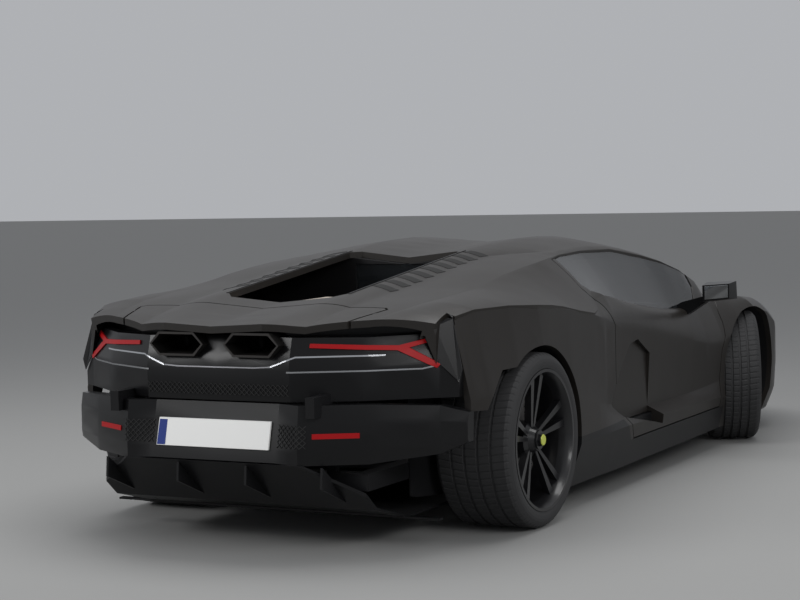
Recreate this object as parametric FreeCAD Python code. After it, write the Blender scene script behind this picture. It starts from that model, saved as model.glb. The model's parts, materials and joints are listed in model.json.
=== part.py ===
import FreeCAD, Part
import math
import os

# A mid-engined two-seat supercar, parked with its front wheels steered left.
# +X points forward, +Y to the left, +Z up. The origin is on the ground, at mid-length.
# All lengths are in mm. Side panels are made on the left and mirrored to the right.

V = FreeCAD.Vector
CENTRE = V(0, 0, 0)

# Driving dimensions
WHEELBASE = 2779
LENGTH = 4947
NOSE_X = 2526
SHIFT_X = LENGTH / 2 - NOSE_X
FRONT_AXLE = 1368
REAR_AXLE = FRONT_AXLE - WHEELBASE
PANEL = 28
GLASS = 6
GLASS_INSET = 4
DOOR_INNER_Y = 800
SHUT_GAP = 6
COWL_X = 1367
FIREWALL_X = 1210
WING_GAP = 10
RUNNING_GAP = 0.4

# Wheels: tyre radius and width, rim radius, middle plane, arch clearance
FRONT_TYRE_R = 346
FRONT_TYRE_W = 265
FRONT_RIM_R = 272
FRONT_TRACK_Y = 860
REAR_TYRE_R = 368
REAR_TYRE_W = 345
REAR_RIM_R = 286
REAR_TRACK_Y = 833
ARCH_GAP_FRONT = 42
ARCH_DROP_FRONT = 16
ARCH_GAP_REAR = 26
HOUSE_Y_FRONT = 535
HOUSE_Y_REAR = 630
LINER = 6
KINGPIN_Y = 820
STEER_REST = 24
DISC_R = 200
HUB_BORE = 30

# Jacking pads under the sills
JACK_PADS_X = (780, -880)
JACK_PAD_Y = 690
JACK_PAD_Z = 102
JACK_PAD_R = 35

# Hinges: pin and eye radius, pivots and axes of the left side
PIN_R = 7
EYE_R = 13
DOOR_FRONT_R = 110
WING_PIN_R = 5
DOOR_PIVOT = V(1150, 812, 690)
DOOR_AXIS = V(-0.03, 1, -0.12).normalize()
LID_PIVOT = V(1280, 470, 684)
WING_PIVOT = V(-2015, 565, 937)

# Lower body, one row per station from nose to tail, left half. Columns:
# x, floor z, then y and z of sill, ledge, waist, crease, shoulder and inner edge, and middle z
LOWER = (
    (NOSE_X, 190, 300, 195, 320, 240, 325, 290, 325, 330, 270, 385, 180, 405, 410),
    (2350, 120, 640, 130, 670, 200, 680, 300, 675, 400, 590, 490, 430, 508, 505),
    (2080, 110, 830, 120, 865, 210, 875, 340, 870, 500, 770, 615, 600, 590, 595),
    (1800, 110, 915, 118, 955, 235, 968, 400, 975, 600, 880, 712, 650, 655, 665),
    (1368, 110, 935, 110, 975, 250, 996, 430, 1002, 708, 910, 772, 665, 715, 735),
    (1000, 110, 925, 110, 965, 270, 962, 370, 955, 560, 868, 764, 720, 745, 768),
    (600, 110, 935, 110, 966, 288, 905, 335, 918, 600, 872, 742, 800, 752, 760),
    (200, 110, 940, 110, 968, 292, 885, 332, 905, 645, 880, 775, 815, 798, 798),
    (-200, 110, 945, 110, 970, 296, 890, 345, 915, 700, 890, 838, 820, 862, 862),
    (-480, 110, 950, 110, 980, 300, 930, 400, 942, 775, 892, 900, 815, 935, 935),
    (-760, 110, 950, 112, 992, 300, 975, 450, 962, 838, 900, 870, 800, 905, 905),
    (-1411, 112, 950, 120, 1000, 300, 1014, 560, 985, 922, 930, 915, 800, 890, 880),
    (-1850, 130, 925, 160, 952, 320, 962, 600, 900, 934, 850, 915, 740, 890, 880),
    (-2010, 150, 880, 200, 905, 350, 912, 590, 838, 886, 800, 882, 700, 862, 855),
    (-2160, 160, 800, 200, 830, 350, 850, 620, 780, 868, 740, 864, 640, 846, 840),
    (-2380, 200, 700, 240, 740, 380, 760, 620, 670, 848, 640, 843, 560, 828, 822),
)
# How far each side of the section bows outward, from sill to middle
LOWER_BOW = (0, 0, 0, 0, 10, 12, 6)

# Upper body, the same way. Columns:
# x, then y and z of foot, edge, inner edge and rail, and middle z
UPPER = (
    (1470, 400, 650, 380, 664, 340, 668, 200, 672, 674),
    (1330, 650, 690, 605, 738, 565, 750, 300, 772, 778),
    (1190, 800, 710, 765, 800, 722, 820, 320, 850, 854),
    (889, 845, 700, 760, 935, 712, 952, 340, 988, 988),
    (548, 856, 700, 682, 1033, 636, 1050, 350, 1092, 1082),
    (200, 866, 740, 645, 1084, 596, 1104, 345, 1150, 1124),
    (-175, 870, 800, 642, 1094, 588, 1112, 335, 1156, 1122),
    (-475, 885, 865, 668, 1090, 600, 1104, 310, 1142, 1108),
    (-760, 964, 846, 704, 1076, 420, 1098, 285, 1116, 1084),
    (-1150, 980, 905, 706, 1040, 420, 1056, 285, 1071, 1044),
    (-1430, 987, 932, 706, 998, 420, 1020, 285, 1039, 1012),
    (-1850, 902, 944, 680, 968, 420, 974, 285, 990, 964),
    (-2160, 782, 876, 610, 926, 400, 932, 240, 945, 930),
    (-2390, 672, 856, 520, 884, 380, 882, 224, 915, 905),
)
UPPER_FLOOR = 540
# Each span between stations is split into this many smooth steps
STATION_PIECES = 2
UPPER_BOW = (0, 0, 12, 3, 5, 0)

# Side view outlines as (x, z)
DOOR_SIDE = ((1110, 1200), (1110, 690), (1040, 672), (1020, 588), (968, 520), (925, 380), (905, 232),
             (-325, 232), (-425, 420), (-466, 770), (-640, 950), (-600, 1200))
INTAKE_SIDE = ((60, 250), (-405, 338), (-530, 400), (-484, 452), (-230, 655), (-114, 672), (60, 590))
WINDOW_SIDE = ((880, 748), (427, 772), (-88, 843), (-476, 906), (-600, 958), (-560, 1200), (950, 1200),
               (950, 850))
# Plan outline of the roof side and windscreen pillar as (x, y), and of the front lid
PILLAR_PLAN = ((1250, 745), (1190, 772), (889, 750), (548, 682), (200, 645), (-175, 642), (-475, 668),
               (-620, 695))
LID_PLAN = ((1395, 610), (1420, 664), (1800, 650), (2080, 585), (2330, 350))

WINDSCREEN_PLAN = ((COWL_X, -10), (COWL_X, 540), (1320, 600), (1190, 690), (889, 655), (560, 590), (430, 520),
                   (395, 300), (390, -10))
ENGINE_BAY_PLAN = ((-690, -10), (-690, 250), (-740, 290), (-1790, 290), (-1850, 240), (-1850, -10))
WING_PLAN = ((-1990, -10), (-1990, 575), (-2010, 590), (-2420, 470), (-2420, -10))


def box(x0, x1, y0, y1, z0, z1):
    return Part.makeBox(x1 - x0, y1 - y0, z1 - z0, V(x0, y0, z0))


def side_prism(points, y0, y1):
    wire = Part.makePolygon([V(x, y0, z) for x, z in points] + [V(points[0][0], y0, points[0][1])])
    return Part.Face(wire).extrude(V(0, y1 - y0, 0))


def plan_prism(points, z0, z1):
    wire = Part.makePolygon([V(x, y, z0) for x, y in points] + [V(points[0][0], points[0][1], z0)])
    return Part.Face(wire).extrude(V(0, 0, z1 - z0))


def front_prism(points, x0, x1):
    wire = Part.makePolygon([V(x0, y, z) for y, z in points] + [V(x0, points[0][0], points[0][1])])
    return Part.Face(wire).extrude(V(x1 - x0, 0, 0))


def cross_rod(x, z, radius, y0, y1):
    return Part.makeCylinder(radius, y1 - y0, V(x, y0, z), V(0, 1, 0))


def rod(start, end, radius):
    start = V(*start)
    axis = V(*end) - start
    return Part.makeCylinder(radius, axis.Length, start, axis)


def mirrored(shape):
    return shape.mirror(CENTRE, V(0, 1, 0))


def both_sides(shape):
    return Part.makeCompound([shape, mirrored(shape)])


def joined(shapes):
    return shapes[0].multiFuse(shapes[1:]).removeSplitter()


def hinge(pivot, axis, eye_length, pin_length):
    """Pin, eye and the eye's bore around one axis, centred on the pivot."""
    pin = Part.makeCylinder(PIN_R, pin_length, pivot - axis * (pin_length / 2), axis)
    bore = Part.makeCylinder(PIN_R + RUNNING_GAP, pin_length * 2, pivot - axis * pin_length, axis)
    eye = Part.makeCylinder(EYE_R, eye_length, pivot - axis * (eye_length / 2), axis)
    return pin, eye, bore


def largest(shape):
    return max(shape.Solids, key=lambda solid: solid.Volume)


def lower_half(row):
    x, fz, sy, sz, ly, lz, wy, wz, cy, cz, hy, hz, iy, iz, mz = row
    return [(0, fz), (sy, sz), (ly, lz), (wy, wz), (cy, cz), (hy, hz), (iy, iz), (0, mz)]


def upper_half(row):
    x, fy, fz, ey, ez, iy, iz, ry, rz, mz = row
    return [(0, UPPER_FLOOR), (fy - 90, UPPER_FLOOR), (fy, fz), (ey, ez), (iy, iz), (ry, rz), (0, mz)]


def inset(half, depth):
    """Move each corner of a section inward, so that its sides move by the depth."""
    ring = half + [(-y, z) for y, z in half[-2:0:-1]]
    moved = []
    for i in range(len(half)):
        (ay, az), (by, bz), (cy, cz) = ring[i - 1], ring[i], ring[i + 1]
        before = math.hypot(by - ay, bz - az)
        after = math.hypot(cy - by, cz - bz)
        ny, nz = -(bz - az) / before, (by - ay) / before
        my, mz = ny - (cz - bz) / after, nz + (cy - by) / after
        scale = depth / (my * ny + mz * nz)
        moved.append((by + my * scale, bz + mz * scale))
    return moved


def half_section(x, points, bows):
    edges = []
    for (ay, az), (by, bz), bow in zip(points, points[1:], bows):
        start, end = V(x, ay, az), V(x, by, bz)
        if bow:
            length = math.hypot(by - ay, bz - az)
            middle = V(x, (ay + by) / 2 + bow * (bz - az) / length, (az + bz) / 2 - bow * (by - ay) / length)
            edges.append(Part.Arc(start, middle, end).toShape())
        else:
            edges.append(Part.LineSegment(start, end).toShape())
    edges.append(Part.LineSegment(V(x, *points[-1]), V(x, *points[0])).toShape())
    return Part.Wire(edges)


def refined(rows, pieces):
    """Stations between those of the table, on a smooth curve through its rows."""
    result = []
    for i in range(len(rows) - 1):
        before, start, end, after = rows[max(i - 1, 0)], rows[i], rows[i + 1], rows[min(i + 2, len(rows) - 1)]
        result.append(start)
        for step in range(1, pieces):
            t = step / pieces
            x = start[0] + (end[0] - start[0]) * t
            row = [x]
            for k in range(1, len(start)):
                slope_in = (end[k] - before[k]) / (end[0] - before[0]) * (end[0] - start[0])
                slope_out = (after[k] - start[k]) / (after[0] - start[0]) * (end[0] - start[0])
                row.append((2 * t ** 3 - 3 * t ** 2 + 1) * start[k] + (t ** 3 - 2 * t ** 2 + t) * slope_in
                           + (3 * t ** 2 - 2 * t ** 3) * end[k] + (t ** 3 - t ** 2) * slope_out)
            result.append(tuple(row))
    result.append(rows[-1])
    return result


def half_form(rows, half, bows, depth, first=0, last=None):
    """Solid left half of the body between two stations, with its skin moved inward by the depth."""
    wires = []
    chosen = rows[first:last]
    stations = [row for row in refined(rows, STATION_PIECES) if chosen[-1][0] <= row[0] <= chosen[0][0]]
    for row in stations:
        points = half(row)
        if depth:
            points = inset(points, depth)
            points[0] = (0, points[0][1])
            points[-1] = (0, points[-1][1])
        wires.append(half_section(row[0], points, bows))
    return Part.makeLoft(wires, True, True)


def grown(points, plane, gap):
    """Face through the points, in plan (z=0) or in side view (y=0), grown outward by the gap."""
    corners = [V(a, b, 0) if plane == "plan" else V(a, 0, b) for a, b in points]
    face = Part.Face(Part.makePolygon(corners + [corners[0]]))
    return face.makeOffset2D(gap, 2) if gap else face


def plan_region(points, z0, z1, gap=0):
    face = grown(points, "plan", gap)
    return face.translated(V(0, 0, z0)).extrude(V(0, 0, z1 - z0))


def side_region(points, y0, y1, gap=0):
    face = grown(points, "side", gap)
    return face.translated(V(0, y0, 0)).extrude(V(0, y1 - y0, 0))


# Body forms: solid outside, and the skin between outside and inside, left half
FAR = 1300
lower_form = half_form(LOWER, lower_half, LOWER_BOW, 0)
outside = lower_form.fuse(half_form(UPPER, upper_half, UPPER_BOW, 0))
inside_lower = half_form(LOWER, lower_half, LOWER_BOW, PANEL, 1, -1)
inside_upper = half_form(UPPER, upper_half, UPPER_BOW, PANEL, 1)
front_arch = cross_rod(FRONT_AXLE, FRONT_TYRE_R - ARCH_DROP_FRONT, FRONT_TYRE_R + ARCH_GAP_FRONT, HOUSE_Y_FRONT, FAR)
rear_arch = cross_rod(REAR_AXLE, REAR_TYRE_R, REAR_TYRE_R + ARCH_GAP_REAR, HOUSE_Y_REAR, FAR)
# The rear arch opens wider behind the wheel
rear_opening = side_prism(((REAR_AXLE, 60), (REAR_AXLE, 700), (-1733, 692), (-1832, 590), (-1893, 500),
                           (-1915, 60)), HOUSE_Y_REAR, FAR)
skin = outside.cut([inside_lower, inside_upper, front_arch, rear_arch, rear_opening])

lid_plan = list(LID_PLAN) + [(x, -y) for x, y in LID_PLAN[::-1]]
pillar_plan = list(PILLAR_PLAN) + [(-620, -10), (COWL_X, -10), (COWL_X, 600)]
DECK_PLAN = ((-620, -10), (-620, 695), (-760, 700), (-1430, 700), (-1850, 672), (-2160, 604), (-2420, 510),
             (-2420, -10))
NOSE_SIDE = ((1985, 60), (1985, 420), (2040, 560), (2040, 900), (2700, 900), (2700, 60))
TAIL_SIDE = ((-1850, 60), (-1850, 545), (-1985, 553), (-2042, 752), (-1950, 893), (-1950, 1100), (-2600, 1100),
             (-2600, 60))
# The tail's outline in plan, swept forward from the middle to the corners
TAIL_LINE = ((-2372, 0), (-2362, 230), (-2318, 345), (-2176, 600), (-2046, 834))
TAIL_PLAN = list(TAIL_LINE) + [(-1957, 858), (-1957, 1300), (-2700, 1300), (-2700, 0)]
SKIRT_SIDE = ((975, 60), (975, 226), (-360, 226), (-430, 330), (-1050, 330), (-1050, 60))

# The door's front edge is round about its own hinge axis, so that it turns clear of the fender
axis_start = DOOR_PIVOT - DOOR_AXIS * FAR
door_zone = side_region(DOOR_SIDE, 0, FAR).cut(
    Part.makeCylinder(DOOR_FRONT_R, 2 * FAR, axis_start, DOOR_AXIS))
door_zone_grown = side_region(DOOR_SIDE, 0, FAR, SHUT_GAP).cut(
    Part.makeCylinder(DOOR_FRONT_R - SHUT_GAP, 2 * FAR, axis_start, DOOR_AXIS))
arm_slot = box(DOOR_PIVOT.x - DOOR_FRONT_R, DOOR_PIVOT.x - 42, DOOR_PIVOT.y - 14, DOOR_PIVOT.y + 26, 700, 900)
roof_zone = plan_region(pillar_plan, 600, 1300)
door_inner_limit = plan_region(pillar_plan, 600, 1300, SHUT_GAP)
intake = side_prism(INTAKE_SIDE, 884, FAR)
intake_duct = side_prism(((-430, 350), (-530, 400), (-484, 452), (-430, 500)), 700, FAR)

# Door: as thick as the whole door below the window, a frame around the glass above it
sill_box = box(-700, 1240, -10, 905, 100, 305)
door_core = outside.common(box(-440, 985, DOOR_INNER_Y, FAR, 232, 735)).common(door_zone)
window = side_region(WINDOW_SIDE, 0, FAR)
door_left = skin.common(door_zone).fuse(door_core).cut([door_inner_limit, sill_box, intake])
door_left = door_left.cut(window.cut(box(-1000, 1300, -10, FAR, 0, 745)))
glass_form = half_form(UPPER, upper_half, UPPER_BOW, GLASS_INSET, 2, 10)
glass_inner = half_form(UPPER, upper_half, UPPER_BOW, GLASS_INSET + GLASS, 2, 10)
glass_sheet = glass_form.cut(glass_inner)
door_glass_left = glass_sheet.common(window).cut(door_inner_limit)
door_glass_left = door_glass_left.common(box(-700, 1000, 300, FAR, 735, 1200)).cut(door_left)

# Fixed panels of the left side
side_skin = skin.cut([door_zone_grown, roof_zone])
fender_zone = box(500, 2100, 0, FAR, 0, 1200).cut([plan_region(lid_plan, 300, 1200, SHUT_GAP),
                                                   side_prism(NOSE_SIDE, -10, FAR)])
skirt_zone = side_prism(SKIRT_SIDE, 600, FAR)
under = box(-2600, 2100, -10, 905, 0, 336)
# Room above the fender for the turning door, and behind the lid for its rear edge
pillar_foot = box(1040, 1420, 690, 900, 774, 1000).cut(
    Part.makeCylinder(DOOR_FRONT_R - SHUT_GAP, 2 * FAR, axis_start, DOOR_AXIS))
lid_sweep = box(1300, 1424, -10, 672, 600, 900)
front_fender_left = side_skin.common(fender_zone).cut([skirt_zone, under, arm_slot, pillar_foot, lid_sweep])
deck_zone = plan_region(DECK_PLAN, 600, 1300)
tail_zone = plan_region(TAIL_PLAN, 0, 1300).multiFuse([
    side_prism(TAIL_SIDE, 830, FAR), box(-2600, -2150, -10, 925, 0, 790)])
quarter_zone = box(-2400, -330, 560, FAR, 0, 1300)
# A solid corner where the upper and lower inner walls cross at a narrow angle
corner_fill = box(-2012, -1926, 796, 850, 848, 890).common(outside)
quarter_left = side_skin.common(quarter_zone).fuse(corner_fill)
quarter_left = quarter_left.cut([deck_zone, tail_zone, skirt_zone, intake, intake_duct, under])
quarter_left = largest(quarter_left)
side_skirt_left = outside.common(skirt_zone).cut([under, front_arch, rear_arch])

# Roof with its pillars, the glass in front of it, and the deck behind it
roof_half = skin.common(roof_zone).cut(box(-2600, 2600, -10, FAR, 0, 668))
windscreen_zone = plan_region(WINDSCREEN_PLAN, 600, 1300)
roof_half = roof_half.cut([windscreen_zone, plan_region(DECK_PLAN, 600, 1300)])
windscreen_half = half_form(UPPER, upper_half, UPPER_BOW, GLASS_INSET, 0, 6).cut(
    half_form(UPPER, upper_half, UPPER_BOW, GLASS_INSET + GLASS, 0, 6)).common(windscreen_zone)
windscreen_half = largest(windscreen_half.cut(lower_form))
deck_half = skin.common(deck_zone).cut([plan_region(ENGINE_BAY_PLAN, 600, 1300), plan_region(TAIL_PLAN, 0, 1300),
                                        plan_region(WING_PLAN, 600, 1300, WING_GAP)])
wing_half = skin.common(plan_region(WING_PLAN, 600, 1300)).cut(plan_region(TAIL_PLAN, 0, 1300))
lid_half = skin.common(plan_region(lid_plan, 300, 1200)).common(box(1000, 2600, 0, FAR, 300, 1200))
nose_half = skin.common(side_prism(NOSE_SIDE, -10, FAR)).cut(plan_region(lid_plan, 300, 1200, SHUT_GAP))


# Front bumper: the nose with its intakes cut through
nose_cavity = front_prism(((-10, 215), (262, 225), (262, 352), (-10, 352)), 2000, 2490)
side_intake = front_prism(((300, 200), (700, 210), (760, 330), (640, 400), (330, 300)), 2150, 2700)
mouth = front_prism(((-10, 235), (235, 240), (225, 310), (-10, 310)), 2300, 2700)
nose_half = nose_half.cut([nose_cavity, side_intake, mouth, front_arch])
LAMP_PLAN = ((2235, 520), (2150, 770), (1940, 838), (1905, 790), (2080, 640), (2160, 505))
lamp_zone = plan_region(LAMP_PLAN, 440, 900)
lid_clearance = plan_region(lid_plan, 300, 1200, SHUT_GAP)
headlamp_left = outside.common(lamp_zone).cut(lid_clearance).cut(half_form(LOWER, lower_half, LOWER_BOW, 60, 1, 5))
nose_half = largest(nose_half.cut(lamp_zone))
front_fender_left = largest(front_fender_left.cut(lamp_zone))

# Tail: fascia above, bumper below, each lofted along Y from side profiles
FASCIA = (
    (0, ((-2290, 872), (-2300, 868), (-2335, 795), (-2350, 735), (-2345, 612), (-2290, 612))),
    (335, ((-2285, 866), (-2310, 862), (-2330, 795), (-2342, 735), (-2337, 612), (-2270, 612))),
    (600, ((-2140, 862), (-2170, 856), (-2196, 795), (-2210, 735), (-2216, 612), (-2130, 612))),
    (832, ((-1950, 868), (-1985, 862), (-2020, 800), (-2036, 748), (-2040, 612), (-1980, 612))),
    (900, ((-1950, 720), (-1965, 712), (-1985, 690), (-1995, 670), (-1995, 612), (-1950, 612))),
)
BUMPER = (
    (0, ((-2345, 606), (-2360, 538), (-2388, 431), (-2398, 380), (-2350, 380), (-2300, 606))),
    (290, ((-2345, 606), (-2360, 538), (-2388, 431), (-2398, 380), (-2350, 380), (-2300, 606))),
    (400, ((-2385, 606), (-2395, 538), (-2405, 431), (-2405, 374), (-2355, 374), (-2330, 606))),
    (640, ((-2255, 604), (-2266, 538), (-2274, 431), (-2270, 374), (-2220, 374), (-2195, 604))),
    (860, ((-2085, 588), (-2098, 530), (-2100, 431), (-2095, 400), (-2045, 400), (-2035, 588))),
    (935, ((-1985, 552), (-1998, 515), (-2000, 450), (-1995, 436), (-1950, 436), (-1940, 552))),
)


def loft_along_y(stations):
    wires = []
    for y, profile in stations:
        corners = [V(x, y, z) for x, z in profile]
        wires.append(Part.makePolygon(corners + [corners[0]]))
    return Part.makeLoft(wires, True, True)


def hexagon(y, z, half_width, half_height, nose):
    return [(y - half_width, z), (y - half_width + nose, z - half_height), (y + half_width - nose, z - half_height),
            (y + half_width, z), (y + half_width - nose, z + half_height), (y - half_width + nose, z + half_height)]


EXHAUST_Y = 176
EXHAUST_Z = 834
outlet_outer = front_prism(hexagon(EXHAUST_Y, EXHAUST_Z, 128, 48, 44), -2362, -2150)
outlet_inner = front_prism(hexagon(EXHAUST_Y, EXHAUST_Z, 119, 39, 40), -2400, -2170)
exhaust_left = outlet_outer.cut(outlet_inner)
outlet_hole = front_prism(hexagon(EXHAUST_Y, EXHAUST_Z, 129, 49, 44), -2500, -2000)
# A closing panel behind the fascia reaches up to the deck's skin, clear of the moving wing
closing_plan = [(x + 100, y) for x, y in TAIL_LINE] + [(-1980, 880), (-1965, 870)]
closing_plan += [(x + 112, y - 6) for x, y in TAIL_LINE[:0:-1]] + [(TAIL_LINE[0][0] + 112, 0)]
closing = plan_prism(closing_plan, 620, 1000).common(outside)
closing = closing.cut([deck_half, wing_half, wing_half.translated(V(0, 0, -7)), quarter_left])
fascia_half = loft_along_y(FASCIA).fuse(largest(closing)).cut([outlet_hole, quarter_left])
wing_sweep = [wing_half, deck_half]
for angle in (0, 4, 8, 12, 17):
    raised = wing_half.translated(V(0, 5, -7))
    raised.rotate(WING_PIVOT, V(0, 1, 0), angle)
    wing_sweep.append(raised)
fascia_half = largest(fascia_half.cut(wing_sweep))
bumper_half = largest(loft_along_y(BUMPER).cut(quarter_left))
LAMP_STRIP = ((403, 838), (700, 822), (880, 870), (880, 856), (735, 812), (842, 745), (830, 730), (700, 804),
              (403, 822))
strip = front_prism(LAMP_STRIP, -2600, -2000)
tail_lamp_left = largest(loft_along_y(FASCIA).translated(V(-7, 0, 0)).common(strip).cut([loft_along_y(FASCIA), quarter_left]))


# Wheels, made at the origin with the outer face toward +Y
def revolved(profile):
    """Turn a closed (y, radius) profile around the Y axis."""
    corners = [V(0, y, radius) for y, radius in profile]
    return Part.Face(Part.makePolygon(corners + [corners[0]])).revolve(CENTRE, V(0, 1, 0), 360)


def around(shape, count):
    copies = []
    for i in range(count):
        turned = shape.copy()
        turned.rotate(CENTRE, V(0, 1, 0), i * 360 / count)
        copies.append(turned)
    return copies


def make_tyre(radius, width, rim_radius):
    half = width / 2
    crown, shoulder = 4, 16
    mid = (radius + rim_radius) / 2
    wire = [V(0, -half + 17, rim_radius), V(0, -half + 4, rim_radius + 12), V(0, -half, mid),
            V(0, -half + 8, radius - shoulder - 4), V(0, -half + 26, radius - crown), V(0, 0, radius)]
    wire.insert(1, V(0, -half + 16, rim_radius + 12))
    right = [V(0, -p.y, p.z) for p in wire[-2::-1]]
    lines = [(wire[0], wire[1]), (wire[1], wire[2]), (wire[4], wire[5]), (right[0], right[1]),
             (right[3], right[4]), (right[4], right[5]), (right[5], wire[0])]
    arcs = [(wire[2], wire[3], wire[4]), (wire[5], wire[6], right[0]), (right[1], right[2], right[3])]
    edges = [Part.LineSegment(a, b).toShape() for a, b in lines] + [Part.Arc(*arc).toShape() for arc in arcs]
    return Part.Face(Part.Wire(Part.__sortEdges__(edges))).revolve(CENTRE, V(0, 1, 0), 360)


def make_rim(rim_radius, width, disc_face):
    """Barrel with flanges, hub and five forked double spokes. The disc's outer face is at disc_face."""
    half = width / 2
    seat, flange, wall = rim_radius, rim_radius + 11, 9
    barrel = revolved(((-half + 16, seat), (half - 16, seat), (half - 12, flange - 1), (half - 2, flange - 1),
                       (half - 2, flange - 14), (half - 20, seat - wall - 4), (half - 60, seat - wall - 14),
                       (-half + 20, seat - wall), (-half + 2, flange - 14), (-half + 2, flange - 1),
                       (-half + 12, flange - 1)))
    face = half - 30
    hub = revolved(((disc_face, HUB_BORE + RUNNING_GAP), (disc_face, 82), (face - 42, 74), (face - 30, 56),
                    (face - 6, 44), (face - 6, HUB_BORE + RUNNING_GAP)))
    fork = []
    outer = rim_radius - 12
    for side in (-1, 1):
        root = [V(side * 16, face - 30, 48), V(side * 2, face - 30, 48), V(side * 30, face - 4, outer),
                V(side * 62, face - 4, outer)]
        base = Part.makePolygon(root + [root[0]])
        lower = [V(side * 16, face - 62, 50), V(side * 2, face - 62, 50), V(side * 32, face - 34, outer),
                 V(side * 58, face - 34, outer)]
        under = Part.makePolygon(lower + [lower[0]])
        fork.append(Part.makeLoft([base, under], True, True))
    spokes = []
    for arm in fork:
        spokes += around(arm, 5)
    rim = barrel.multiFuse([hub] + spokes)
    return rim


def make_disc(disc_face):
    return revolved(((disc_face - 34, 110), (disc_face - 34, DISC_R), (disc_face, DISC_R), (disc_face, 62),
                     (disc_face - 12, 62), (disc_face - 12, 110)))


FRONT_DISC_FACE = 20
REAR_DISC_FACE = 40
ARM_Z = 150
BALL_R = 20


def make_caliper(disc_face, inner_depth, outer_depth, reach):
    """Saddle around the disc behind the axle, fixed to the knuckle."""
    gap = 4
    ring = revolved(((disc_face - 34 - inner_depth, 124), (disc_face - 34 - inner_depth, reach),
                     (disc_face + outer_depth, reach), (disc_face + outer_depth, 124)))
    slot = revolved(((disc_face - 34 - gap, 100), (disc_face - 34 - gap, DISC_R + gap),
                     (disc_face + gap, DISC_R + gap), (disc_face + gap, 100)))
    wedge = side_prism(((0, 0), (-400, 190), (-400, -190)), -300, 300)
    return ring.cut(slot).common(wedge)


def make_upright(disc_face, outer_face, reach):
    """Hub carrier with a spindle, its ball-joint boss and the brake caliper."""
    back = disc_face - 34 - 6
    boss_y = KINGPIN_Y - FRONT_TRACK_Y
    boss = Part.makeCylinder(BALL_R, 2 * (ARM_Z - 9 - RUNNING_GAP), V(0, boss_y, -(ARM_Z - 9 - RUNNING_GAP)))
    carrier = Part.makeCylinder(72, back - boss_y + 18, V(0, boss_y - 18, 0), V(0, 1, 0))
    spindle = Part.makeCylinder(HUB_BORE, outer_face - 12 - boss_y, V(0, boss_y, 0), V(0, 1, 0))
    lug = box(-150, 0, back - 26, back - 2, -40, 40)
    caliper = make_caliper(disc_face, 24, 14, reach)
    return joined([boss, carrier, spindle, lug, caliper])


def placed(shape, axle_x, centre_z, centre_y, kingpin_y=None, steer=0, right=False):
    """Put a wheel piece at its axle, on the right side if asked, and turn it about its kingpin."""
    result = shape.translated(V(axle_x, centre_y, centre_z))
    pivot_y = kingpin_y if kingpin_y else centre_y
    if right:
        result = mirrored(result)
        pivot_y = -pivot_y
    if steer:
        result.rotate(V(axle_x, pivot_y, 0), V(0, 0, 1), steer)
    return result


front_tyre = make_tyre(FRONT_TYRE_R, FRONT_TYRE_W, FRONT_RIM_R)
front_face = FRONT_TYRE_W / 2 - 30
front_rim = make_rim(FRONT_RIM_R, FRONT_TYRE_W, FRONT_DISC_FACE)
front_disc = make_disc(FRONT_DISC_FACE)
front_knuckle = make_upright(FRONT_DISC_FACE, front_face, FRONT_RIM_R - 34)
rear_tyre = make_tyre(REAR_TYRE_R, REAR_TYRE_W, REAR_RIM_R)
rear_face = REAR_TYRE_W / 2 - 30
rear_rim = make_rim(REAR_RIM_R, REAR_TYRE_W, REAR_DISC_FACE)
rear_disc = make_disc(REAR_DISC_FACE)
rear_upright = make_upright(REAR_DISC_FACE, rear_face, REAR_RIM_R - 34)

nodes = {}
for side, right in (("l", False), ("r", True)):
    front_place = (FRONT_AXLE, FRONT_TYRE_R, FRONT_TRACK_Y, KINGPIN_Y, STEER_REST, right)
    rear_place = (REAR_AXLE, REAR_TYRE_R, REAR_TRACK_Y, None, 0, right)
    nodes["tyre_f" + side] = placed(front_tyre, *front_place)
    nodes["rim_f" + side] = placed(front_rim, *front_place)
    nodes["disc_f" + side] = placed(front_disc, *front_place)
    nodes["knuckle_f" + side] = placed(front_knuckle, *front_place)
    nodes["tyre_r" + side] = placed(rear_tyre, *rear_place)
    nodes["rim_r" + side] = placed(rear_rim, *rear_place)
    nodes["disc_r" + side] = placed(rear_disc, *rear_place)
rear_carriers = placed(rear_upright, REAR_AXLE, REAR_TYRE_R, REAR_TRACK_Y)


# Suspension arms from the wheelhouse wall out to the kingpin
def make_arms(axle_x, centre_z, wall_y, pin_y, spread):
    pieces = []
    for z in (centre_z - ARM_Z, centre_z + ARM_Z):
        eye = Part.makeCylinder(BALL_R, 18, V(axle_x, pin_y, z - 9))
        legs = [rod((axle_x + dx, wall_y, z), (axle_x, pin_y, z), 9) for dx in (-spread, spread)]
        pieces.append(joined([eye] + legs))
    pieces.append(rod((axle_x, wall_y, centre_z), (axle_x, pin_y - 44, centre_z), 16))
    wall = box(axle_x - 400, axle_x + 400, 0, wall_y, 0, 900)
    return Part.makeCompound([piece.cut(wall) for piece in pieces])


rear_pin_y = REAR_TRACK_Y + KINGPIN_Y - FRONT_TRACK_Y
front_arms = make_arms(FRONT_AXLE, FRONT_TYRE_R, HOUSE_Y_FRONT, KINGPIN_Y, 110)
rear_arms = make_arms(REAR_AXLE, REAR_TYRE_R, HOUSE_Y_REAR, rear_pin_y, 130)
nodes["front_wishbones"] = both_sides(front_arms)
nodes["rear_suspension"] = both_sides(rear_arms.fuse(rear_carriers))

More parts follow.
